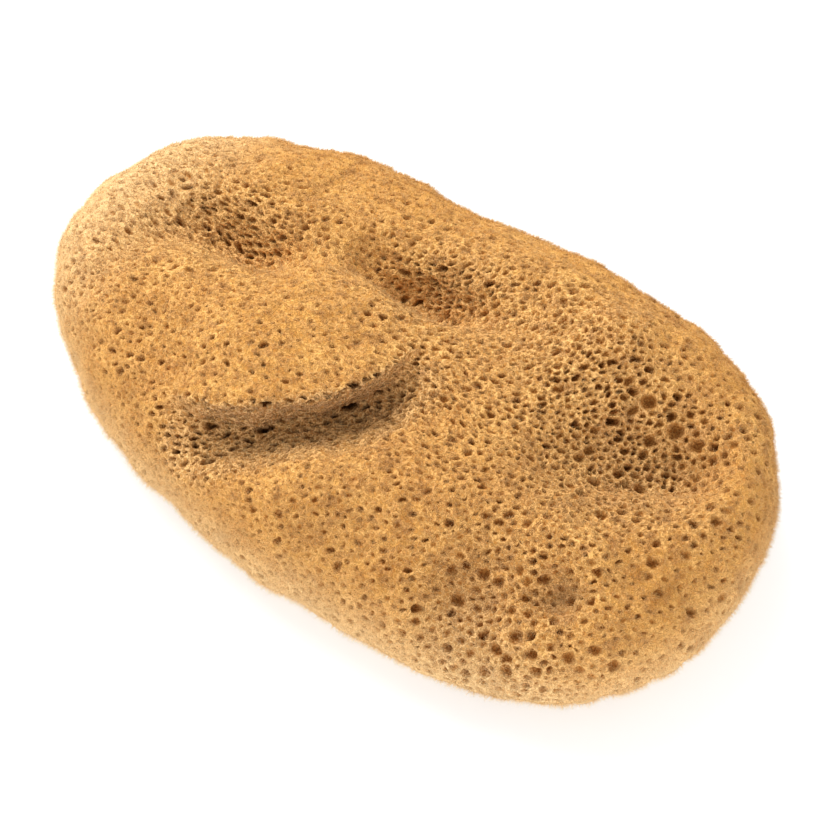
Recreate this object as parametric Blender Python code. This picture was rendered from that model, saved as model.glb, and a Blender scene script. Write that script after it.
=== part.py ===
# Sea sponge: one natural sponge, dried, with its fold, hollows and pores, cut flat where it grew on rock.
# Units are metres with +Z up. The origin is on the flat cut, under the middle of the sponge.
# X runs along the sponge, and the fold opens towards -Y.

import math

import bmesh
import bpy
import numpy as np
from mathutils import Vector, kdtree, noise

MM = 0.001

# The plain slab, in millimetres
THICKNESS = 33.0         # from the flat cut to the general level of the top
WIDEST_LEVEL = 12.5      # height at which the sponge is widest
UNDER_REACH = 20.0       # how far the rounded underside would go below that level if it weren't cut
TOP_FULLNESS = 3.0       # 2 is an ellipse in section, more is squarer
UNDER_FULLNESS = 2.4
FRONT_FULLNESS = 2.0     # the front slopes more gently
FRONT_BEARING = -42.0    # degrees from +X to the middle of the front
FRONT_HALF_WIDTH = 38.0  # degrees
# Distance from the middle to the edge, every 22.5 degrees anticlockwise from +X
OUTLINE = (72.5, 69.5, 59.0, 46.5, 40.0, 40.5, 49.0, 64.0, 72.0, 65.0, 51.5, 45.0, 42.5, 45.5, 56.0, 70.5)

# Broad relief of the top: middle x, y, half length, half width, turn in degrees, height
SWELLS = {
    "middle lobe": (-12.0, -13.0, 19.0, 14.0, 38.0, 3.5),
    "far left hollow": (-35.5, -0.5, 12.0, 5.5, 2.0, -9.0),
    "shallow end of the far left hollow": (-49.0, -6.0, 8.0, 8.0, 0.0, -3.0),
    "valley behind the lobe": (-4.0, 10.5, 14.0, 4.8, 8.0, -9.5),
    "valley left of the lobe": (-30.0, -28.0, 11.0, 5.5, -38.0, -3.5),
    "bowl": (47.0, 7.0, 15.0, 12.5, 50.0, -10.0),
    "deep end of the bowl": (54.0, 14.0, 7.0, 7.0, 0.0, -5.5),
    "rim behind the bowl": (31.0, 22.0, 7.0, 10.0, 0.0, 2.5),
    "ridge in front of the fold": (16.0, -31.0, 17.0, 5.5, 42.0, 2.5),
    "rim in front of the bowl": (52.0, -14.0, 14.0, 4.5, 25.0, 2.5),
    "right rim": (64.0, 14.0, 4.0, 12.0, 15.0, 2.5),
    "crest along the far edge": (5.0, 27.0, 26.0, 6.0, -8.0, 2.0),
}

# The fold, an arc round the front of the middle lobe, whose edge hangs over it
FOLD_MIDDLE = (-30.8, 2.5)
FOLD_RADIUS = 36.0
FOLD_FROM = -84.0        # degrees, bearing of its left end from FOLD_MIDDLE
FOLD_TO = 0.0
LEFT_FADE = 24.0         # degrees over which it dies out at each end
RIGHT_FADE = 28.0
FOLD_DEPTH = 7.5
FOLD_FOOT = 23.0         # height above the cut below which the side has no fold
FOLD_WALL = 2.2          # plan width of the steep wall under the lip
FOLD_BED = 1.5           # from the lip to where the bed begins to rise again
FOLD_WIDTH = 18.0        # from the lip to the crest in front of it
LIP_OVERHANG = 3.8
LIP_REACH = 10.0         # how far back from the lip the lobe's edge is drawn out

# Dents square to the surface: middle x, y, z, radius, depth
DENTS = {
    "front hollow": (42.5, -29.5, 21.0, 9.5, 6.0),
    "round mouth": (54.5, -21.5, 24.0, 3.6, 4.5),
    "hollow in the right side": (69.0, -3.5, 20.0, 6.5, 2.5),
    "hollow under the right rim": (62.0, -11.0, 25.0, 4.0, 1.8),
}

# Uneven growth all over: size of the lumps, height
LUMPS = ((14.0, 1.1), (5.0, 0.6))

# Pores wide enough to show as pits. One stands in for a few of the real pores.
PIT_GAP = 5.2            # least distance between two pits where the sponge is plain
PIT_ZONES = {            # middle x, y, radius, gap there
    "bowl": (46.0, 9.0, 17.0, 3.5),
    "front": (50.0, -30.0, 16.0, 3.7),
    "middle lobe": (-13.0, -14.0, 14.0, 6.5),
    "left edge": (-68.0, -10.0, 16.0, 7.0),
}
PIT_RADIUS = (1.0, 1.6)
PIT_DEPTH_FOR_RADIUS = 1.35
PIT_FLOOR = 0.4          # share of the radius that is the pit's floor
LOWEST_PIT = 4.0
PIT_TRIES = 20000
# Wide pores that stand out: x, y, radius
WIDE_PORES = (
    (52.0, -30.3, 2.1), (50.2, -33.4, 1.7), (56.0, -31.4, 1.8), (53.3, -34.6, 1.8), (63.7, -24.1, 1.8),
    (67.1, -23.0, 2.0), (39.6, -30.5, 1.9), (40.8, -25.5, 1.8), (55.2, -20.2, 2.2), (40.9, 18.3, 2.0),
    (46.6, 18.6, 2.0), (51.0, 19.0, 1.9), (49.9, -5.3, 1.6), (48.6, 6.5, 1.9), (64.6, 7.2, 1.7),
    (-4.3, 11.4, 1.9), (-0.5, 11.1, 1.9),
)

SPHERE_STEPS = 8         # subdivisions of the sphere that the form is pressed from
ROUGH_CUT = 0.4          # left below the flat cut until the surface is thinned out
TRIANGLES = 9400
SEED = 7

FELT_COLOUR = (0.62, 0.34, 0.12, 1.0)
FELT_ROUGHNESS = 0.95
SHARPEST_SMOOTH = 50.0   # degrees between two faces that still shade as one


def rise(value, start, end):
    """0 before start, 1 after end, smooth between."""
    part = np.clip((value - start) / (end - start), 0.0, 1.0)
    return part * part * (3.0 - 2.0 * part)


def outline_radius(angle):
    """Smooth closed curve through the OUTLINE distances."""
    waves = np.fft.rfft(OUTLINE) / len(OUTLINE)
    radius = np.full(angle.shape, waves[0].real)
    for order in range(1, len(OUTLINE) // 2):
        turn = order * angle
        radius += 2.0 * (waves[order].real * np.cos(turn) - waves[order].imag * np.sin(turn))
    return radius


def press_slab(direction):
    """Each direction from the middle goes out to a rounded slab that stands on the outline."""
    across = np.hypot(direction[:, 0], direction[:, 1])
    angle = np.arctan2(direction[:, 1], direction[:, 0])
    off_front = (np.degrees(angle) - FRONT_BEARING + 180.0) % 360.0 - 180.0
    front = np.exp(-(off_front / FRONT_HALF_WIDTH) ** 2)
    top_fullness = TOP_FULLNESS + (FRONT_FULLNESS - TOP_FULLNESS) * front
    fullness = np.where(direction[:, 2] > 0.0, top_fullness, UNDER_FULLNESS)
    scale = (across ** fullness + np.abs(direction[:, 2]) ** fullness) ** (-1.0 / fullness)
    reach = outline_radius(angle) * across * scale
    level = direction[:, 2] * scale
    height = np.where(level > 0.0, THICKNESS - WIDEST_LEVEL, UNDER_REACH)
    return np.column_stack((reach * np.cos(angle), reach * np.sin(angle), WIDEST_LEVEL + height * level))


def raise_swells(point):
    """Raises the lobes and sinks the hollows, by less the further down the side."""
    share = np.clip((point[:, 2] - WIDEST_LEVEL) / (THICKNESS - WIDEST_LEVEL), 0.0, 1.0)
    for x, y, half_length, half_width, turn, amount in SWELLS.values():
        cosine, sine = math.cos(math.radians(turn)), math.sin(math.radians(turn))
        along = (point[:, 0] - x) * cosine + (point[:, 1] - y) * sine
        aside = (point[:, 1] - y) * cosine - (point[:, 0] - x) * sine
        point[:, 2] += share * amount * np.exp(-(along / half_length) ** 2 - (aside / half_width) ** 2)


def press_fold(point):
    """Sinks the fold in front of the middle lobe and draws the lobe's edge out over it."""
    x = point[:, 0] - FOLD_MIDDLE[0]
    y = point[:, 1] - FOLD_MIDDLE[1]
    distance = np.hypot(x, y)
    bearing = np.degrees(np.arctan2(y, x))
    strength = rise(bearing, FOLD_FROM, FOLD_FROM + LEFT_FADE)
    strength *= 1.0 - rise(bearing, FOLD_TO - RIGHT_FADE, FOLD_TO)
    strength *= rise(point[:, 2], WIDEST_LEVEL, FOLD_FOOT)
    past_lip = distance - FOLD_RADIUS
    bed = rise(past_lip, 0.0, FOLD_WALL) * (1.0 - rise(past_lip, FOLD_BED, FOLD_WIDTH))
    point[:, 2] -= strength * FOLD_DEPTH * bed
    drawn = rise(past_lip, -LIP_REACH, 0.0) * (1.0 - rise(past_lip, 0.0, FOLD_WALL))
    overhang = strength * LIP_OVERHANG * drawn / distance
    point[:, 0] += overhang * x
    point[:, 1] += overhang * y


def press_dents(point, normal):
    for x, y, z, radius, depth in DENTS.values():
        away = np.linalg.norm(point - (x, y, z), axis=1) / radius
        point -= normal * (depth * np.exp(-away ** 2))[:, None]


def raise_lumps(point, normal):
    for size, height in LUMPS:
        lump = [noise.noise(Vector(place)) for place in point / size]
        point += normal * (height * np.array(lump))[:, None]


def pit_gap(x, y):
    """Least distance from a pit at x, y to the next one."""
    gap = PIT_GAP
    for zone_x, zone_y, radius, zone_gap in PIT_ZONES.values():
        inside = math.exp(-((x - zone_x) ** 2 + (y - zone_y) ** 2) / radius ** 2)
        gap += (zone_gap - PIT_GAP) * inside
    return gap


def place_pits(point):
    """Vertex and radius of each pit: the wide pores first, then others wherever there is room."""
    random = np.random.default_rng(SEED)
    upper = np.flatnonzero(point[:, 2] > WIDEST_LEVEL)
    pits = []
    for x, y, radius in WIDE_PORES:
        away = np.hypot(point[upper, 0] - x, point[upper, 1] - y)
        pits.append((upper[np.argmin(away)], radius))
    middles = [point[vertex] for vertex, radius in pits]
    for vertex in random.permutation(np.flatnonzero(point[:, 2] > LOWEST_PIT))[:PIT_TRIES]:
        place = point[vertex]
        gap = pit_gap(place[0], place[1])
        if np.min(np.sum((np.array(middles) - place) ** 2, axis=1)) > gap * gap:
            middles.append(place)
            pits.append((vertex, random.uniform(*PIT_RADIUS)))
    return pits


def press_pits(point, normal):
    tree = kdtree.KDTree(len(point))
    for vertex, place in enumerate(point):
        tree.insert(place, vertex)
    tree.balance()
    sunk = np.zeros_like(point)
    for vertex, radius in place_pits(point):
        near = tree.find_range(point[vertex], radius)
        around = np.array([index for place, index, away in near])
        away = np.array([away for place, index, away in near])
        depth = PIT_DEPTH_FOR_RADIUS * radius * (1.0 - rise(away / radius, PIT_FLOOR, 1.0))
        sunk[around] -= normal[vertex] * depth[:, None]
    point += sunk


def write_points(mesh, point):
    mesh.vertices.foreach_set("co", (point * MM).astype(np.float32).ravel())
    mesh.update()


def surface_normals(mesh):
    normal = np.empty(len(mesh.vertices) * 3, dtype=np.float32)
    mesh.vertex_normals.foreach_get("vector", normal)
    return normal.reshape(-1, 3).astype(float)


def full_form():
    """The whole sponge on a fine mesh, before its underside is cut."""
    shape = bmesh.new()
    bmesh.ops.create_icosphere(shape, subdivisions=SPHERE_STEPS, radius=1.0)
    mesh = bpy.data.meshes.new("sponge")
    shape.to_mesh(mesh)
    shape.free()
    direction = np.empty(len(mesh.vertices) * 3, dtype=np.float32)
    mesh.vertices.foreach_get("co", direction)
    point = press_slab(direction.reshape(-1, 3).astype(float))
    raise_swells(point)
    press_fold(point)
    for press in (press_dents, raise_lumps, press_pits):
        write_points(mesh, point)
        press(point, surface_normals(mesh))
    write_points(mesh, point)
    return mesh


def cut_flat(mesh, height):
    """Cuts away what is below height and closes the cut with one flat face."""
    shape = bmesh.new()
    shape.from_mesh(mesh)
    geometry = shape.verts[:] + shape.edges[:] + shape.faces[:]
    cut = bmesh.ops.bisect_plane(shape, geom=geometry, dist=0.02 * MM, plane_co=(0.0, 0.0, height * MM),
                                 plane_no=(0.0, 0.0, 1.0), clear_inner=True)
    rim = [item for item in cut["geom_cut"] if isinstance(item, bmesh.types.BMEdge)]
    bmesh.ops.contextual_create(shape, geom=rim)
    bmesh.ops.recalc_face_normals(shape, faces=shape.faces)
    shape.to_mesh(mesh)
    shape.free()


def thin_out(sponge):
    """Thins the fine mesh out to TRIANGLES, which keeps the pits and the fold."""
    thinner = sponge.modifiers.new("thin out", "DECIMATE")
    thinner.ratio = TRIANGLES / (2 * len(sponge.data.vertices))
    thinner.use_collapse_triangulate = True
    graph = bpy.context.evaluated_depsgraph_get()
    thin = bpy.data.meshes.new_from_object(sponge.evaluated_get(graph))
    fine = sponge.data
    sponge.modifiers.clear()
    sponge.data = thin
    bpy.data.meshes.remove(fine)
    thin.name = "sponge"


def middle_on_origin(mesh):
    """Puts the middle of the sponge's plan on the origin."""
    place = np.array([vertex.co for vertex in mesh.vertices])
    middle = (place.min(axis=0) + place.max(axis=0)) / 2.0
    for vertex in mesh.vertices:
        vertex.co -= Vector((middle[0], middle[1], 0.0))


def felt():
    """Dry spongin felt, golden brown."""
    material = bpy.data.materials.new("spongin felt")
    material.use_nodes = True
    surface = material.node_tree.nodes["Principled BSDF"]
    surface.inputs["Base Color"].default_value = FELT_COLOUR
    surface.inputs["Roughness"].default_value = FELT_ROUGHNESS
    surface.inputs["Metallic"].default_value = 0.0
    material.diffuse_color = FELT_COLOUR
    return material


def build():
    for old in list(bpy.data.objects):
        bpy.data.objects.remove(old, do_unlink=True)
    collection = bpy.data.collections.new("sea sponge")
    bpy.context.scene.collection.children.link(collection)
    mesh = full_form()
    cut_flat(mesh, -ROUGH_CUT)
    sponge = bpy.data.objects.new("sponge", mesh)
    collection.objects.link(sponge)
    thin_out(sponge)
    cut_flat(sponge.data, 0.0)
    middle_on_origin(sponge.data)
    sponge.data.materials.append(felt())
    sponge.data.shade_smooth()
    sponge.data.set_sharp_from_angle(angle=math.radians(SHARPEST_SMOOTH))
    return sponge


build()
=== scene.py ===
import math

import bmesh
import bpy
import numpy as np
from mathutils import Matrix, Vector, kdtree, noise
from mathutils.bvhtree import BVHTree


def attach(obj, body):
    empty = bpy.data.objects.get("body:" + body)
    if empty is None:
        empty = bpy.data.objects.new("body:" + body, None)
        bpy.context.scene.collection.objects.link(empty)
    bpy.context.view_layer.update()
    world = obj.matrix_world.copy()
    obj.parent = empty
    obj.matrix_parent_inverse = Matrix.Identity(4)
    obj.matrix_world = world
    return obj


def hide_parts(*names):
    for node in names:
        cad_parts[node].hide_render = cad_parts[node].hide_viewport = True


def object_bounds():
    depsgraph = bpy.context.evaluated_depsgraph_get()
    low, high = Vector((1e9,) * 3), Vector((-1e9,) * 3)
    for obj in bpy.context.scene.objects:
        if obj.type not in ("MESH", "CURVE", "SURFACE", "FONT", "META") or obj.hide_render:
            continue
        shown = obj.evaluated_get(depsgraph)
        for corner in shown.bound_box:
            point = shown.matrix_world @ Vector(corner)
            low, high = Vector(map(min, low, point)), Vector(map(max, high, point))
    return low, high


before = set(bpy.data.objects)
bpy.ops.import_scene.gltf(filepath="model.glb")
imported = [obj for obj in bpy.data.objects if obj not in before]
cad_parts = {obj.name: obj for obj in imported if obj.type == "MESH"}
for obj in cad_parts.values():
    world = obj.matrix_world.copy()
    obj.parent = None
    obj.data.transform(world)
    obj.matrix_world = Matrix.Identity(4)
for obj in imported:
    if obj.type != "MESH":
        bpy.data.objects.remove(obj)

cad_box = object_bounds()
MM = 0.001


# The camera.
# It looks down on the sponge from beyond its front right, through a long lens, so that the picture
# is 148 mm wide at the sponge. The sponge's length runs from upper left to lower right.
CAMERA_AZIMUTH = math.radians(41.0)
CAMERA_ELEVATION = math.radians(50.0)
CAMERA_DISTANCE = 700.0
PICTURE_WIDTH = 147.8
AIM = Vector((6.2, -2.0, 14.0))

towards_camera = Vector((math.sin(CAMERA_AZIMUTH) * math.cos(CAMERA_ELEVATION),
                         -math.cos(CAMERA_AZIMUTH) * math.cos(CAMERA_ELEVATION),
                         math.sin(CAMERA_ELEVATION)))
camera_data = bpy.data.cameras.new("camera")
camera_data.sensor_width = 36.0
camera_data.lens = camera_data.sensor_width * CAMERA_DISTANCE / PICTURE_WIDTH
camera_data.clip_start = 0.05
camera = bpy.data.objects.new("camera", camera_data)
camera.location = (AIM + towards_camera * CAMERA_DISTANCE) * MM
camera.rotation_euler = towards_camera.to_track_quat("Z", "Y").to_euler()
bpy.context.scene.collection.objects.link(camera)
bpy.context.scene.camera = camera


# The sponge's body.
# One piece of felted spongin fibre that grew as a thick slab round a middle lobe, with soft hollows,
# a fold under the lobe's edge, and pores all over. It is pressed from a fine sphere, as the solid is.
THICKNESS = 33.0
WIDEST_LEVEL = 12.5
UNDER_REACH = 20.0
TOP_FULLNESS = 3.0
UNDER_FULLNESS = 2.4
FRONT_FULLNESS = 2.0
FRONT_BEARING = -42.0
FRONT_HALF_WIDTH = 38.0
# Distance from the middle to the edge, every 22.5 degrees anticlockwise from +X
OUTLINE = (72.5, 69.5, 59.0, 46.5, 40.0, 40.5, 49.0, 64.0, 72.0, 65.0, 51.5, 45.0, 42.5, 45.5, 56.0, 70.5)
# Broad relief of the top: middle x, y, half length, half width, turn in degrees, height
SWELLS = {
    "middle lobe": (-12.0, -13.0, 19.0, 14.0, 38.0, 3.5),
    "far left hollow": (-35.5, -0.5, 12.0, 5.5, 2.0, -9.0),
    "shallow end of the far left hollow": (-49.0, -6.0, 8.0, 8.0, 0.0, -3.0),
    "valley behind the lobe": (-4.0, 10.5, 14.0, 4.8, 8.0, -9.5),
    "valley left of the lobe": (-30.0, -28.0, 11.0, 5.5, -38.0, -3.5),
    "bowl": (47.0, 7.0, 15.0, 12.5, 50.0, -10.0),
    "deep end of the bowl": (54.0, 14.0, 7.0, 7.0, 0.0, -5.5),
    "rim behind the bowl": (31.0, 22.0, 7.0, 10.0, 0.0, 2.5),
    "ridge in front of the fold": (16.0, -31.0, 17.0, 5.5, 42.0, 2.5),
    "rim in front of the bowl": (52.0, -14.0, 14.0, 4.5, 25.0, 2.5),
    "right rim": (64.0, 14.0, 4.0, 12.0, 15.0, 2.5),
    "crest along the far edge": (5.0, 27.0, 26.0, 6.0, -8.0, 2.0),
}
FOLD_MIDDLE = (-30.8, 2.5)
FOLD_RADIUS = 36.0
FOLD_FROM = -84.0
FOLD_TO = 0.0
LEFT_FADE = 24.0
RIGHT_FADE = 28.0
FOLD_DEPTH = 7.5
FOLD_FOOT = 23.0
FOLD_WALL = 2.2
FOLD_BED = 1.5
FOLD_WIDTH = 18.0
LIP_OVERHANG = 3.8
LIP_REACH = 10.0
UNDER_LIP = (-1.0, 0.5)        # where the fold's pores and painted shade begin and end, from the lip
OUT_OF_FOLD = (6.0, 15.0)
# Dents square to the surface: middle x, y, z, radius, depth
DENTS = {
    "front hollow": (42.5, -29.5, 21.0, 9.5, 6.0),
    "round mouth": (54.5, -21.5, 24.0, 3.6, 4.5),
    "hollow in the right side": (69.0, -3.5, 20.0, 6.5, 2.5),
    "hollow under the right rim": (62.0, -11.0, 25.0, 4.0, 1.8),
}
# Uneven growth all over: size of the lumps, height
LUMPS = ((14.0, 1.1), (5.0, 0.6))
SMALL_LUMPS = ((2.4, 0.35),)

SPHERE_STEPS = 8
GRAIN = 0.25      # size of the faces that the pores are sunk in
BODY_TRIANGLES = 197000
SEED = 11

# How the pores lie in each part of the sponge: their usual radius, the felt left between two of them,
# length over width, the way they are combed in degrees from +X, depth for their radius, how much of
# the nap is combed, what is left of their depth on the steep sides, how far they grow into the felt
# between them, how much shade is painted dark inside them, and how long, dense and uneven in colour the nap is.
PLAIN_PORES = dict(radius=0.46, wall=0.5, stretch=1.3, bearing=40.0, depth=1.5, combed=0.3,
                   at_side=0.8, growth=1.0, dark=0.1, nap=1.0, cover=1.0, vivid=0.7)
PORE_ZONES = (
    # x, y, zone radius, and what is different there
    (47.0, 8.0, 18.0, dict(radius=0.6, wall=0.2, stretch=1.25, bearing=55.0, depth=2.6, growth=1.35,
                          dark=0.5, nap=0.6, cover=0.6, vivid=1.2)),
    (50.0, -31.0, 14.0, dict(radius=0.78, wall=0.4, stretch=1.1, bearing=40.0, depth=1.5, at_side=1.0, growth=1.1,
                             vivid=1.1)),
    (24.0, -38.0, 12.0, dict(radius=0.58, wall=0.75, stretch=1.2, bearing=50.0, depth=1.3)),
    (-13.0, -14.0, 14.0, dict(radius=0.4, wall=1.1, stretch=1.5, bearing=40.0, depth=1.8, dark=0.5)),
    (-60.0, -8.0, 17.0, dict(radius=0.46, wall=0.35, stretch=2.8, bearing=2.0, depth=1.3, combed=0.9, growth=1.15)),
    (-40.0, 0.0, 12.0, dict(radius=0.52, wall=0.25, stretch=2.8, bearing=5.0, depth=2.2, combed=1.0,
                            growth=1.2, dark=0.4, nap=0.7, cover=0.7, vivid=1.2)),
    (-3.0, 11.0, 11.0, dict(radius=0.48, wall=0.25, stretch=2.6, bearing=60.0, depth=2.2, combed=1.0,
                            growth=1.2, dark=0.4, nap=0.7, cover=0.6, vivid=1.2)),
    (20.0, 18.0, 17.0, dict(radius=0.5, wall=0.2, stretch=1.9, bearing=72.0, depth=2.1, combed=1.0, growth=1.25,
                            nap=0.8, cover=0.8, vivid=1.1)),
    (16.0, -10.0, 13.0, dict(radius=0.42, wall=0.25, stretch=2.2, bearing=-20.0, depth=1.8, combed=0.9, growth=1.2)),
    (68.0, -6.0, 11.0, dict(radius=0.6, wall=1.3, stretch=1.4, bearing=60.0, depth=1.0, vivid=0.4)),
    (65.0, 18.0, 9.0, dict(radius=0.5, wall=1.2, depth=1.0, vivid=0.3)),
    (43.0, 37.0, 12.0, dict(radius=0.5, wall=1.2, depth=0.9, vivid=0.3)),
    (14.0, 38.0, 12.0, dict(radius=0.5, wall=1.2, depth=0.9, vivid=0.3)),
    (-16.0, 36.0, 14.0, dict(radius=0.5, wall=1.2, depth=0.9, vivid=0.3)),
    (-46.0, 27.0, 12.0, dict(radius=0.5, wall=1.2, depth=0.9, vivid=0.3)),
    (-75.0, -8.0, 14.0, dict(wall=0.9, depth=0.3, nap=0.7, vivid=0.1)),
)
FOLD_PORES = dict(radius=0.62, wall=0.25, stretch=2.8, bearing=52.0, depth=2.4, combed=1.0, growth=1.25, dark=1.0,
                  nap=0.8, cover=0.3, vivid=3.0)
# Wide pores that stand out: x, y, radius
WIDE_PORES = (
    (52.0, -30.3, 1.35), (50.2, -33.4, 1.15), (52.5, -33.4, 1.0), (56.0, -31.4, 1.25), (53.3, -34.6, 1.2),
    (57.7, -31.8, 1.1), (49.8, -36.9, 1.1), (63.7, -24.1, 1.15), (67.1, -23.0, 1.3), (61.2, -27.7, 1.1),
    (39.6, -30.5, 1.3), (40.8, -25.5, 1.2), (43.6, -25.3, 1.0), (55.2, -20.2, 1.2), (40.9, 18.3, 1.2),
    (46.6, 18.6, 1.3), (51.0, 19.0, 1.2), (44.6, 14.3, 1.1), (49.9, -5.3, 0.95), (48.6, 6.5, 1.1),
    (64.6, 7.2, 1.0), (62.1, -6.7, 1.1), (70.2, -5.5, 1.2),
)
RADIUS_SPREAD = 0.28     # of the logarithm of a pore's radius
RADIUS_SHARES = (0.55, 1.6)
PORE_HOLLOW = 2.2        # power of a pore's section: 1 is a cone, 2 a bowl
WALL_HALF = 0.06         # least felt from the middle of a wall to the pore beside it
WALL_SLOPE = 0.3
LIP_WIDTH = 0.4
RAGGEDNESS = ((1.2, 0.42), (0.5, 0.16))      # size and reach of the bends in the pores' edges
COMB_SCATTER = 16.0
CHANCE_CELL = 0.02       # places nearer than this draw the same
MIXERS = tuple(np.uint64(odd) for odd in (0x9E3779B97F4A7C15, 0xBF58476D1CE4E5B9, 0x94D049BB133111EB))
SHIFTS = tuple(np.uint64(bits) for bits in (31, 30, 27))
SAME_SIDE = 0.35         # a pore shapes only the felt that faces nearly its way, not round a sharp edge
CANAL_WALL = 1.6         # felt left between canals in the flat cut underneath
CANAL_RADII = (0.6, 1.5)
CANAL_DEPTH = 2.5


def rise(value, start, end):
    """0 before start, 1 after end, smooth between."""
    part = np.clip((value - start) / (end - start), 0.0, 1.0)
    return part * part * (3.0 - 2.0 * part)


def outline_radius(angle):
    """Smooth closed curve through the OUTLINE distances."""
    waves = np.fft.rfft(OUTLINE) / len(OUTLINE)
    radius = np.full(angle.shape, waves[0].real)
    for order in range(1, len(OUTLINE) // 2):
        turn = order * angle
        radius += 2.0 * (waves[order].real * np.cos(turn) - waves[order].imag * np.sin(turn))
    return radius


def press_slab(direction):
    """Each direction from the middle goes out to a rounded slab that stands on the outline."""
    across = np.hypot(direction[:, 0], direction[:, 1])
    angle = np.arctan2(direction[:, 1], direction[:, 0])
    off_front = (np.degrees(angle) - FRONT_BEARING + 180.0) % 360.0 - 180.0
    front = np.exp(-(off_front / FRONT_HALF_WIDTH) ** 2)
    top_fullness = TOP_FULLNESS + (FRONT_FULLNESS - TOP_FULLNESS) * front
    fullness = np.where(direction[:, 2] > 0.0, top_fullness, UNDER_FULLNESS)
    scale = (across ** fullness + np.abs(direction[:, 2]) ** fullness) ** (-1.0 / fullness)
    reach = outline_radius(angle) * across * scale
    level = direction[:, 2] * scale
    height = np.where(level > 0.0, THICKNESS - WIDEST_LEVEL, UNDER_REACH)
    return np.column_stack((reach * np.cos(angle), reach * np.sin(angle), WIDEST_LEVEL + height * level))


def raise_swells(point):
    """Raises the lobes and sinks the hollows, by less the further down the side."""
    share = np.clip((point[:, 2] - WIDEST_LEVEL) / (THICKNESS - WIDEST_LEVEL), 0.0, 1.0)
    for x, y, half_length, half_width, turn, amount in SWELLS.values():
        cosine, sine = math.cos(math.radians(turn)), math.sin(math.radians(turn))
        along = (point[:, 0] - x) * cosine + (point[:, 1] - y) * sine
        aside = (point[:, 1] - y) * cosine - (point[:, 0] - x) * sine
        point[:, 2] += share * amount * np.exp(-(along / half_length) ** 2 - (aside / half_width) ** 2)


def fold_bed(point):
    """How far each point is down in the fold, from 0 to 1, with the fold's strength there, the
    distance past the lip and the way out from the fold's middle."""
    x = point[:, 0] - FOLD_MIDDLE[0]
    y = point[:, 1] - FOLD_MIDDLE[1]
    distance = np.hypot(x, y)
    bearing = np.degrees(np.arctan2(y, x))
    strength = rise(bearing, FOLD_FROM, FOLD_FROM + LEFT_FADE)
    strength *= 1.0 - rise(bearing, FOLD_TO - RIGHT_FADE, FOLD_TO)
    strength *= rise(point[:, 2], WIDEST_LEVEL, FOLD_FOOT)
    past_lip = distance - FOLD_RADIUS
    bed = strength * rise(past_lip, 0.0, FOLD_WALL) * (1.0 - rise(past_lip, FOLD_BED, FOLD_WIDTH))
    return bed, strength, past_lip, x / distance, y / distance


def press_fold(point):
    """Sinks the fold in front of the middle lobe and draws the lobe's edge out over it. Returns how
    much each point is in the fold, from 0 to 1."""
    bed, strength, past_lip, out_x, out_y = fold_bed(point)
    drawn = rise(past_lip, -LIP_REACH, 0.0) * (1.0 - rise(past_lip, 0.0, FOLD_WALL))
    overhang = strength * LIP_OVERHANG * drawn
    point[:, 2] -= FOLD_DEPTH * bed
    point[:, 0] += overhang * out_x
    point[:, 1] += overhang * out_y
    return strength * rise(past_lip, *UNDER_LIP) * (1.0 - rise(past_lip, *OUT_OF_FOLD))


def press_dents(point, normal):
    for x, y, z, radius, depth in DENTS.values():
        away = np.linalg.norm(point - (x, y, z), axis=1) / radius
        point -= normal * (depth * np.exp(-away ** 2))[:, None]


def raise_lumps(point, normal, lumps=LUMPS):
    for size, height in lumps:
        lump = [noise.noise(Vector(place)) for place in point / size]
        point += normal * (height * np.array(lump))[:, None]


def point_tree(point):
    tree = kdtree.KDTree(len(point))
    for index, place in enumerate(point):
        tree.insert(place, index)
    tree.balance()
    return tree


def write_points(mesh, point):
    mesh.vertices.foreach_set("co", (point * MM).astype(np.float32).ravel())
    mesh.update()


def read_points(mesh):
    place = np.empty(len(mesh.vertices) * 3, dtype=np.float32)
    mesh.vertices.foreach_get("co", place)
    return place.reshape(-1, 3).astype(float)


def surface_normals(mesh):
    normal = np.empty(len(mesh.vertices) * 3, dtype=np.float32)
    mesh.vertex_normals.foreach_get("vector", normal)
    return normal.reshape(-1, 3).astype(float)


def pore_pattern(point, fold):
    """The pores' usual size, spacing and lie at each vertex, blended from the zones."""
    pattern = {key: np.full(len(point), value) for key, value in PLAIN_PORES.items()}
    for x, y, radius, zone in PORE_ZONES:
        inside = np.exp(-((point[:, 0] - x) ** 2 + (point[:, 1] - y) ** 2) / radius ** 2)
        for key, value in zone.items():
            pattern[key] += (value - PLAIN_PORES[key]) * inside
    for key, value in FOLD_PORES.items():
        pattern[key] += (value - pattern[key]) * fold
    return pattern


def steep_rim(point, normal, fold):
    """1 on the steep sides all round, 0 on top, in the hollows and in the fold."""
    off_middle = np.hypot(point[:, 0], point[:, 1]) / outline_radius(np.arctan2(point[:, 1], point[:, 0]))
    return rise(-normal[:, 2], -0.9, 0.0) * rise(off_middle, 0.7, 0.95) * (1.0 - fold)


def chance(place, draw):
    """A number from 0 to 1 for each place, as if drawn at random. It hangs only on where the place is,
    so the pores come out the same in whatever order the points are."""
    cell = np.round(place / CHANCE_CELL).astype(np.int64).astype(np.uint64)
    mixed = cell[:, 0] * MIXERS[0] + cell[:, 1] * MIXERS[1] + cell[:, 2] * MIXERS[2] + np.uint64(draw)
    for mixer, shift in zip(MIXERS, SHIFTS):
        mixed = (mixed ^ (mixed >> shift)) * mixer
    return (mixed ^ (mixed >> SHIFTS[0])) / 2.0 ** 64


def bell(place, draw):
    """A number round 0 for each place, spread about as a normal draw is."""
    return 2.0 * (chance(place, draw) + chance(place, draw + 1) + chance(place, draw + 2) - 1.5)


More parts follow.
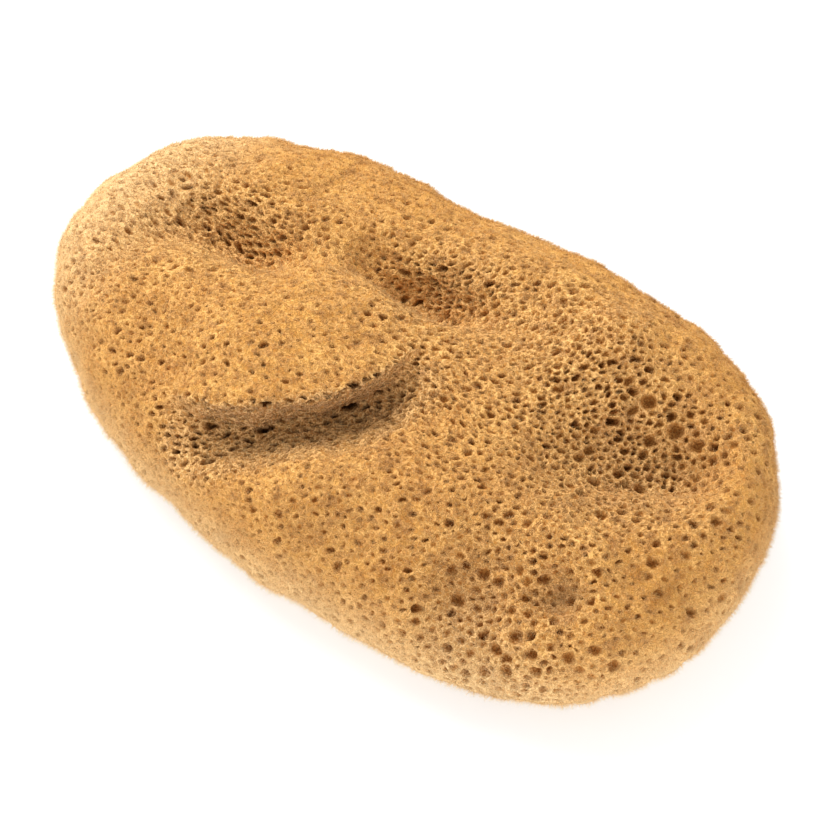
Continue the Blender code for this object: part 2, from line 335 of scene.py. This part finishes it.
def sink_pores(point, normal, fold):
    """Sinks pores where each has room beside the others, and lets them grow till thin walls are left.
    Returns how deep in a pore each vertex is, from 0 on the surface to 1 on the floor of a deep one,
    and how near it is to a pore's edge, from 0 to 1."""
    pattern = pore_pattern(point, fold)
    underneath = (normal[:, 2] < -0.9).tolist()
    share = np.exp(RADIUS_SPREAD * bell(point, 10)).clip(*RADIUS_SHARES)
    wide = (pattern["radius"] * share).tolist()
    wall = pattern["wall"].tolist()
    deep = pattern["depth"] * (1.0 + (pattern["at_side"] - 1.0) * steep_rim(point, normal, fold))
    ragged = point.copy()
    for size, bend in RAGGEDNESS:
        ragged += bend * np.array([noise.noise_vector(Vector(place)) for place in point / size])
    tree = point_tree(point)
    room = np.full(len(point), 9.0)
    nearest = np.full(len(point), 9.0)       # distances to the middles of the two nearest pores,
    second = np.full(len(point), 9.0)        # as shares of their radii
    radii = np.ones(len(point))
    push = np.zeros_like(point)

    def set_pore(vertex, radius, stretch, bearing, depth, reach):
        outward = normal[vertex]
        along = np.array((math.cos(bearing), math.sin(bearing), 0.0))
        along -= outward * outward.dot(along)
        along /= np.linalg.norm(along)
        aside = np.cross(outward, along)
        longer = math.sqrt(stretch)
        near = tree.find_range(point[vertex], radius * longer + reach)
        around = np.fromiter((index for place, index, away in near), dtype=int, count=len(near))
        around = around[normal[around] @ outward > SAME_SIDE]
        off = ragged[around] - ragged[vertex]
        spread = np.hypot(off @ along / longer, off @ aside * longer)
        room[around] = np.minimum(room[around], spread - radius)
        away = spread / radius
        closer = away < nearest[around]
        second[around] = np.where(closer, nearest[around], np.minimum(second[around], away))
        own = around[closer]
        nearest[own] = away[closer]
        radii[own] = radius
        push[own] = -outward * depth

    upper = np.flatnonzero(point[:, 2] > WIDEST_LEVEL)
    for x, y, radius in WIDE_PORES:
        vertex = upper[np.argmin(np.hypot(point[upper, 0] - x, point[upper, 1] - y))]
        set_pore(vertex, radius, 1.15, math.radians(40.0), 1.3 * radius, 2.0)
    canal = CANAL_RADII[0] + (CANAL_RADII[1] - CANAL_RADII[0]) * chance(point, 1)
    turn = np.radians(pattern["bearing"] + COMB_SCATTER * bell(point, 20))
    deep *= 0.5 + 1.2 * chance(point, 2) ** 2
    for vertex in np.argsort(chance(point, 3)).tolist():
        if underneath[vertex]:
            radius = canal[vertex]
            if room[vertex] > radius + CANAL_WALL:
                set_pore(vertex, radius, 1.0, 0.0, CANAL_DEPTH, 3.5)
            continue
        radius = min(wide[vertex], room[vertex] - wall[vertex])
        if radius < 0.75 * wide[vertex]:
            continue
        set_pore(vertex, radius, pattern["stretch"][vertex], turn[vertex], deep[vertex] * radius, 2.0)
    from_middle = nearest / pattern["growth"]
    to_wall = (second - nearest) * radii / 2.0
    share = (1.0 - np.minimum(from_middle, 1.0) ** PORE_HOLLOW)
    share *= rise(to_wall, WALL_HALF, WALL_HALF + WALL_SLOPE)
    inside = share * np.minimum(1.0, 0.4 + 0.5 * np.linalg.norm(push, axis=1))
    off_edge = np.maximum(from_middle - 1.0, 0.0) * radii
    lip = (1.0 - share) * np.exp(-(off_edge / LIP_WIDTH) ** 2)
    point += push * share[:, None]
    point[:, 2] = np.maximum(point[:, 2], 0.0)
    return inside, lip


shape = bmesh.new()
bmesh.ops.create_icosphere(shape, subdivisions=SPHERE_STEPS, radius=1.0)
fine = bpy.data.meshes.new("fine body")
shape.to_mesh(fine)
shape.free()
point = press_slab(read_points(fine))
raise_swells(point)
fold_share = press_fold(point)
for press in (press_dents, raise_lumps):
    write_points(fine, point)
    press(point, surface_normals(fine))
point[:, 2] = np.maximum(point[:, 2], 0.0)
cad_middle = (cad_box[0] + cad_box[1]) / 2 / MM
middle = (point.min(axis=0) + point.max(axis=0)) / 2.0
point[:, 0] += cad_middle.x - middle[0]
point[:, 1] += cad_middle.y - middle[1]
write_points(fine, point)
pressed_tree = point_tree(point)


def with_modifier(mesh, name, kind, **settings):
    """The mesh as a modifier leaves it. The mesh that went in is removed."""
    holder = bpy.data.objects.new(name, mesh)
    bpy.context.scene.collection.objects.link(holder)
    modifier = holder.modifiers.new(name, kind)
    for setting, value in settings.items():
        setattr(modifier, setting, value)
    result = bpy.data.meshes.new_from_object(holder.evaluated_get(bpy.context.evaluated_depsgraph_get()))
    bpy.data.objects.remove(holder)
    bpy.data.meshes.remove(mesh)
    return result


fine = with_modifier(fine, "even grain", "REMESH", mode="VOXEL", voxel_size=GRAIN * MM, adaptivity=0.0)
point = read_points(fine) / MM
raise_lumps(point, surface_normals(fine), SMALL_LUMPS)
point[:, 2] = np.maximum(point[:, 2], 0.0)
write_points(fine, point)
in_fold = fold_share[[pressed_tree.find(place)[1] for place in point]]
inside_pore, pore_lip = sink_pores(point, surface_normals(fine), in_fold)
write_points(fine, point)

fine_triangles = 2 * len(fine.vertices)
body_mesh = with_modifier(fine, "thin out", "DECIMATE", ratio=BODY_TRIANGLES / fine_triangles,
                          use_collapse_triangulate=True)
body_mesh.name = "sponge body"
body = bpy.data.objects.new("sponge_body", body_mesh)
bpy.context.scene.collection.objects.link(body)
body_mesh.shade_smooth()

fine_tree = point_tree(point)
body_point = read_points(body_mesh) / MM
matching = [fine_tree.find(place)[1] for place in body_point]
body_inside = inside_pore[matching]
body_lip = pore_lip[matching]
body_fold = in_fold[matching]
body_normal = surface_normals(body_mesh)


# Colours of dry spongin, in sRGB: a pale cream painted on as light at the left end and low down the sides,
# cream, gold on the open surface, amber for patches and for painted shade in the pores, brown for browner
# patches and painted shade in the hollows and the fold, near black for painted shade deep in the pores.
PAINTED_GLOW_CREAM = "FFE1AF"
CREAM = "FAD5A0"
GOLD = "E6B064"
TAN = "CF964F"
AMBER = "B67C3F"
BROWN = "8E5B32"
PAINTED_PORE_SHADE = "3C240F"
GREY = "8E7764"


def linear(colour):
    """Turns an sRGB hex colour to linear values."""
    value = np.array([int(colour[start:start + 2], 16) / 255.0 for start in (0, 2, 4)])
    return np.where(value <= 0.04045, value / 12.92, ((value + 0.055) / 1.055) ** 2.4)


def blend(colour, other, share):
    return colour + (linear(other) - colour) * share[:, None]


# Brown zones, partly the felt's own browner patches and partly shade painted into the hollows: x, y, radius, share of
# brown
BROWN_AND_SHADE_ZONES = (
    (50.0, 7.0, 14.0, 0.3), (-2.3, 13.5, 7.0, 0.15), (-39.0, 1.0, 7.0, 0.1), (41.0, -30.0, 8.0, 0.5),
    (53.0, -35.0, 9.0, 0.2), (16.0, -37.0, 9.0, 0.15), (40.0, -8.0, 8.0, 0.25),
)
# Shares of shade painted brown into the fold, more on its walls that face down under the lip.
FOLD_PAINTED_SHADE = 0.45
UNDER_LIP_PAINTED_SHADE = 0.95
# Share of cream painted on the pores' lips as a highlight.
LIP_PAINTED_HIGHLIGHT = 0.25
MOUTH = (54.5, -21.0, 22.0, 3.6)


def colour_with_painted_light_and_shade(place, inside, lip, fold, normal):
    """Colour at each place of the felt, given how deep in a pore, how near to its lip and how deep in
    the fold it is, with shade painted into the pores, the fold and the hollows, light painted on at the
    left end and low sides, and a highlight painted on the pores' lips."""
    patches = np.array([noise.noise(Vector(at)) for at in place / 9.0])
    rim = steep_rim(place, normal, fold)
    colour = np.tile(linear(GOLD), (len(place), 1))
    colour = blend(colour, TAN, np.clip(0.5 + 0.9 * patches, 0.0, 1.0) * 0.6 * (1.0 - rim))
    spots = np.array([noise.noise(Vector(at)) for at in place / 2.6])
    colour = blend(colour, AMBER, 0.6 * rise(spots, 0.1, 0.6))
    # Brown for the felt's browner patches, and painted shade in the hollows.
    for x, y, radius, share in BROWN_AND_SHADE_ZONES:
        colour = blend(colour, BROWN, share * np.exp(-((place[:, 0] - x) ** 2 + (place[:, 1] - y) ** 2) / radius ** 2))
    # Painted shade in the fold, darkest on the walls that face down under the lip.
    wall = rise(-normal[:, 2], -0.6, 0.2)
    colour = blend(colour, BROWN, (FOLD_PAINTED_SHADE + (UNDER_LIP_PAINTED_SHADE - FOLD_PAINTED_SHADE) * wall) * fold)
    # Painted light: paler towards the left end and low down the sides, as light glowing through the nap and off the
    # table.
    colour = blend(colour, PAINTED_GLOW_CREAM, 0.8 * rise(-place[:, 0], 40.0, 72.0))
    colour = blend(colour, PAINTED_GLOW_CREAM, 0.9 * rise(-place[:, 2], -22.0, -4.0))
    mouth = np.exp(-np.sum((place - MOUTH[:3]) ** 2, axis=1) / MOUTH[3] ** 2)
    colour = blend(colour, GREY, 0.4 * mouth)
    pattern = pore_pattern(place, fold)
    # Painted highlight on the pores' lips.
    colour = blend(colour, CREAM, LIP_PAINTED_HIGHLIGHT * lip * np.minimum(pattern["vivid"], 1.5))
    # Painted shade in the pores: amber, then near black further down.
    colour = blend(colour, AMBER, rise(inside, 0.05, 0.7) * 0.9)
    return blend(colour, PAINTED_PORE_SHADE, rise(inside, 0.25, 0.85) * pattern["dark"])


def paint(mesh, colour, contrast):
    """Writes the felt's colour, with its painted light and shade, and how strongly single fibres stand out in it."""
    layer = mesh.color_attributes.new("growth", "FLOAT_COLOR", "POINT")
    values = np.ones((len(colour), 4), dtype=np.float32)
    values[:, :3] = colour
    layer.data.foreach_set("color", values.ravel())
    layer = mesh.attributes.new("contrast", "FLOAT", "POINT")
    layer.data.foreach_set("value", contrast.astype(np.float32))


body_contrast = pore_pattern(body_point, body_fold)["vivid"]
body_contrast *= 1.0 - 0.6 * steep_rim(body_point, body_normal, body_fold)
paint(body_mesh, colour_with_painted_light_and_shade(body_point, body_inside, body_lip, body_fold, body_normal), body_contrast)


def add_node(tree, kind, settings=None, **links):
    """Adds a node with its settings and its inputs, a value or another node's output each."""
    node = tree.nodes.new(kind)
    for name, value in (settings or {}).items():
        setattr(node, name, value)
    for name, value in links.items():
        socket = node.inputs[int(name[1:])] if name[0] == "i" and name[1:].isdigit() else node.inputs[name]
        if isinstance(value, bpy.types.NodeSocket):
            tree.links.new(value, socket)
        else:
            socket.default_value = value
    return node


# Spongin felt: a matt mat of fine horny fibres, which scatters light with a faint sheen at its edges.
felt = bpy.data.materials.new("spongin felt")
felt.use_nodes = True
tree = felt.node_tree
surface = tree.nodes["Principled BSDF"]
surface.inputs["Roughness"].default_value = 0.95
surface.inputs["Specular IOR Level"].default_value = 0.08
surface.inputs["Sheen Weight"].default_value = 0.15
surface.inputs["Sheen Roughness"].default_value = 0.6
surface.inputs["Sheen Tint"].default_value = (*linear(TAN), 1.0)
place = add_node(tree, "ShaderNodeTexCoord").outputs["Object"]
growth = add_node(tree, "ShaderNodeAttribute", dict(attribute_name="growth")).outputs["Color"]
contrast = add_node(tree, "ShaderNodeAttribute", dict(attribute_name="contrast")).outputs["Fac"]
waver = add_node(tree, "ShaderNodeTexNoise", Vector=place, Scale=1.0 / (0.6 * MM), Detail=2.0)
bent = add_node(tree, "ShaderNodeVectorMath", dict(operation="MULTIPLY_ADD"), i0=waver.outputs["Color"],
                i1=(0.9 * MM, 0.9 * MM, 0.9 * MM), i2=place)
cells = add_node(tree, "ShaderNodeTexVoronoi", dict(feature="DISTANCE_TO_EDGE"), Vector=bent.outputs[0],
                 Scale=1.0 / (0.75 * MM))
# The threads keep their own lighter tone; the gaps between them are painted darker and redder, as shade under the
# threads.
thread = add_node(tree, "ShaderNodeMapRange", None, i0=cells.outputs["Distance"], i1=0.02, i2=0.22, i3=0.5, i4=-0.5)
strong = add_node(tree, "ShaderNodeMath", dict(operation="MULTIPLY_ADD"), i0=thread.outputs[0], i1=contrast, i2=0.5)
tint = add_node(tree, "ShaderNodeMix", dict(data_type="RGBA"), i0=strong.outputs[0], i6=(0.7, 0.57, 0.42, 1.0),
                i7=(1.25, 1.23, 1.18, 1.0))
colour = add_node(tree, "ShaderNodeVectorMath", dict(operation="MULTIPLY"), i0=growth, i1=tint.outputs[2])
tree.links.new(colour.outputs[0], surface.inputs["Base Color"])
bump = add_node(tree, "ShaderNodeBump", None, Strength=1.0, Distance=0.2 * MM, Height=thread.outputs[0])
tree.links.new(bump.outputs[0], surface.inputs["Normal"])
body_mesh.materials.append(felt)

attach(body, "root")
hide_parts("sponge")


# The nap.
# Loose ends of the spongin fibres, about a millimetre long, that stand and lie all over the felt in
# small tufts. They grow out of the body's surface, and in some places they are combed one way.
FIBRES_PER_PIECE = 49500
NAP_PIECES = ("nap_left_end", "nap_lobe", "nap_middle", "nap_bowl_end")
FIBRES_PER_TUFT = 10
TUFT_LENGTH = 0.4
TUFT_WIDTH = 0.14
FIBRE_LENGTH = (0.45, 1.05)
RIM_LENGTH = (0.6, 1.7)
FIBRE_WIDTH = 0.1
RIM_FIBRE_WIDTH = 0.06
SHADE_POWERS = (0.9, 1.1, 1.4)      # felt in shade turns redder
FIBRE_ROOT = 0.12        # how deep its root sits in the felt
STRAND_SHARE = 0.12      # of the fibres, that lie flat across the felt and its pores

random = np.random.default_rng(SEED + 1)
corner = np.empty(len(body_mesh.polygons) * 3, dtype=np.int32)
body_mesh.loops.foreach_get("vertex_index", corner)
corner = corner.reshape(-1, 3)
side_a = body_point[corner[:, 1]] - body_point[corner[:, 0]]
side_b = body_point[corner[:, 2]] - body_point[corner[:, 0]]
area = np.linalg.norm(np.cross(side_a, side_b), axis=1) / 2.0
open_share = 1.0 - rise(body_inside[corner].mean(axis=1), 0.05, 0.6)
facing_down = body_normal[corner, 2].mean(axis=1) < -0.85
cover = pore_pattern(body_point, body_fold)["cover"][corner].mean(axis=1)
chance = area * open_share * cover * np.where(facing_down, 0.0, 1.0)
count = FIBRES_PER_PIECE * len(NAP_PIECES)
tufts = count // FIBRES_PER_TUFT
chosen = random.choice(len(area), size=tufts, p=chance / chance.sum())
weight = random.dirichlet((1.0, 1.0, 1.0), size=tufts)


def at_chosen(values):
    """Values at the body's corners, blended to the tufts' places."""
    return np.einsum("nk,nk...->n...", weight, values[corner[chosen]])


def turned(outward, bearing):
    """Directions along the surface that point the way of the bearings."""
    along = np.column_stack((np.cos(bearing), np.sin(bearing), np.zeros(len(bearing))))
    along -= outward * np.sum(outward * along, axis=1)[:, None]
    return along / np.maximum(np.linalg.norm(along, axis=1), 0.05)[:, None]


def each_fibre(values):
    return np.repeat(values, FIBRES_PER_TUFT, axis=0)


tuft_pattern = pore_pattern(at_chosen(body_point), at_chosen(body_fold))
scatter = np.where(random.random(tufts) < tuft_pattern["combed"], 15.0, 90.0)
tuft_bearing = np.radians(tuft_pattern["bearing"] + random.normal(0.0, 1.0, tufts) * scatter)
tuft_outward = at_chosen(body_normal)
tuft_outward /= np.linalg.norm(tuft_outward, axis=1)[:, None]
tuft_along = turned(tuft_outward, tuft_bearing)
tuft_aside = np.cross(tuft_outward, tuft_along)
wanted = each_fibre(at_chosen(body_point))
looser = each_fibre(1.0 + 3.0 * steep_rim(at_chosen(body_point), tuft_outward, at_chosen(body_fold)))
wanted += each_fibre(tuft_along) * (looser * random.normal(0.0, TUFT_LENGTH, count))[:, None]
wanted += each_fibre(tuft_aside) * (looser * random.normal(0.0, TUFT_WIDTH, count))[:, None]
surface_tree = BVHTree.FromPolygons(body_point.tolist(), corner.tolist())
found = [surface_tree.find_nearest(place) for place in wanted.tolist()]
root = np.array([hit[0] for hit in found])
outward = np.array([hit[1] for hit in found])
root_corner = corner[[hit[2] for hit in found]]
root_inside = body_inside[root_corner].mean(axis=1)
root_lip = body_lip[root_corner].mean(axis=1)
root_fold = body_fold[root_corner].mean(axis=1)
outward = outward + each_fibre(tuft_outward)
outward /= np.linalg.norm(outward, axis=1)[:, None]

rim = steep_rim(root, outward, root_fold)
lean_way = turned(outward, each_fibre(tuft_bearing) + random.normal(0.0, 1.0, count) * (0.45 + 2.0 * rim))
lean = np.radians(random.uniform(20.0, 70.0, count) * (1.0 - 0.2 * rim))
strand = random.random(count) < STRAND_SHARE
lean[strand] = np.radians(random.uniform(75.0, 92.0, strand.sum()))
way = outward * np.cos(lean)[:, None] + lean_way * np.sin(lean)[:, None]
across = np.cross(way, outward + 0.01)
across /= np.linalg.norm(across, axis=1)[:, None]
other = np.cross(way, across)
length = random.uniform(*FIBRE_LENGTH, count) * each_fibre(tuft_pattern["nap"])
length += (random.uniform(*RIM_LENGTH, count) - length) * rim
length[strand] *= 1.6
half = (FIBRE_WIDTH + (RIM_FIBRE_WIDTH - FIBRE_WIDTH) * rim) / 2.0 * random.uniform(0.7, 1.2, count)
start = root - outward * FIBRE_ROOT
ring = [start + (across * math.cos(turn) + other * math.sin(turn)) * half[:, None]
        for turn in np.radians((0.0, 120.0, 240.0))]
tip = root + way * length[:, None]
tip[:, 2] = np.maximum(tip[:, 2], 0.05)
corners = np.stack(ring + [tip], axis=1)
vivid = each_fibre(tuft_pattern["vivid"])
shade = 1.0 + each_fibre(random.uniform(-0.2, 0.2, tufts)) * vivid
shade *= 1.0 + random.uniform(-0.14, 0.14, count) * vivid
shade += (1.0 - shade) * 0.7 * rim
shade[strand] = 1.1 + 0.15 * np.minimum(vivid[strand], 1.2)
tone = colour_with_painted_light_and_shade(root, root_inside, root_lip, root_fold, outward)
# The roots are painted darker and redder, as shade down in the nap.
tone_root = tone * (shade * (1.0 - 0.35 * np.minimum(vivid, 1.0) * (1.0 - 0.8 * rim)))[:, None] ** SHADE_POWERS
tone = tone * shade[:, None] ** SHADE_POWERS
tone_tip = np.minimum(blend(tone, CREAM, random.uniform(0.0, 0.5, count) * (1.0 - 0.8 * root_fold)), 1.0)
tones = np.stack((tone_root, tone_root, tone_root, tone_tip), axis=1)

fibre = bpy.data.materials.new("spongin fibre")
fibre.use_nodes = True
tree = fibre.node_tree
surface = tree.nodes["Principled BSDF"]
surface.inputs["Roughness"].default_value = 0.9
surface.inputs["Specular IOR Level"].default_value = 0.1
growth = add_node(tree, "ShaderNodeAttribute", dict(attribute_name="growth")).outputs["Color"]
tree.links.new(growth, surface.inputs["Base Color"])

SPIKE_FACES = np.array(((0, 2, 1), (0, 1, 3), (1, 2, 3), (2, 0, 3)))
by_x = np.argsort(root[:, 0])
for piece, name in enumerate(NAP_PIECES):
    picked = by_x[piece * FIBRES_PER_PIECE:(piece + 1) * FIBRES_PER_PIECE]
    mesh = bpy.data.meshes.new(name)
    mesh.vertices.add(len(picked) * 4)
    mesh.vertices.foreach_set("co", (corners[picked] * MM).astype(np.float32).ravel())
    faces = (SPIKE_FACES[None] + 4 * np.arange(len(picked))[:, None, None]).reshape(-1, 3)
    mesh.loops.add(faces.size)
    mesh.loops.foreach_set("vertex_index", faces.ravel().astype(np.int32))
    mesh.polygons.add(len(faces))
    mesh.polygons.foreach_set("loop_start", np.arange(0, faces.size, 3, dtype=np.int32))
    mesh.update(calc_edges=True)
    paint(mesh, tones[picked].reshape(-1, 3), np.repeat(vivid[picked], 4))
    mesh.materials.append(fibre)
    nap = bpy.data.objects.new(name, mesh)
    bpy.context.scene.collection.objects.link(nap)
    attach(nap, "root")


# The floor and the light.
# A plain white table under a big soft light from behind and above, with white all round.
FLOOR_SIZE = 6.0
shape = bmesh.new()
bmesh.ops.create_grid(shape, x_segments=1, y_segments=1, size=FLOOR_SIZE / 2.0)
floor_mesh = bpy.data.meshes.new("table")
shape.to_mesh(floor_mesh)
shape.free()
table = bpy.data.objects.new("table", floor_mesh)
table.location.z = -0.0002
bpy.context.scene.collection.objects.link(table)
card = bpy.data.materials.new("white card")
card.use_nodes = True
surface = card.node_tree.nodes["Principled BSDF"]
surface.inputs["Base Color"].default_value = (0.5, 0.5, 0.5, 1.0)
surface.inputs["Roughness"].default_value = 0.9
surface.inputs["Emission Color"].default_value = (0.97, 0.99, 1.0, 1.0)
surface.inputs["Emission Strength"].default_value = 0.62
floor_mesh.materials.append(card)

world = bpy.data.worlds.new("white surroundings")
world.use_nodes = True
world.node_tree.nodes["Background"].inputs["Color"].default_value = (1.0, 1.0, 1.0, 1.0)
world.node_tree.nodes["Background"].inputs["Strength"].default_value = 0.8
bpy.context.scene.world = world

picture_right = Vector((math.cos(CAMERA_AZIMUTH), math.sin(CAMERA_AZIMUTH), 0.0))
away = Vector((-math.sin(CAMERA_AZIMUTH), math.cos(CAMERA_AZIMUTH), 0.0))
light_way = (away * 0.75 - picture_right * 0.5 + Vector((0.0, 0.0, 0.95))).normalized()
key_data = bpy.data.lights.new("soft light", "AREA")
key_data.size = 1.2
key_data.energy = 30.0
key = bpy.data.objects.new("soft light", key_data)
key.location = AIM * MM + light_way * 1.6
key.rotation_euler = light_way.to_track_quat("Z", "Y").to_euler()
key.visible_camera = False
bpy.context.scene.collection.objects.link(key)

fill_way = (picture_right * 0.1 - away + Vector((0.0, 0.0, 0.15))).normalized()
fill_data = bpy.data.lights.new("low front light", "AREA")
fill_data.shape = "RECTANGLE"
fill_data.size = 2.2
fill_data.size_y = 0.4
fill_data.energy = 12.0
fill = bpy.data.objects.new("low front light", fill_data)
fill.location = AIM * MM + fill_way * 1.5
fill.rotation_euler = fill_way.to_track_quat("Z", "Y").to_euler()
fill.visible_camera = False
bpy.context.scene.collection.objects.link(fill)

bpy.context.scene.view_settings.view_transform = "Standard"
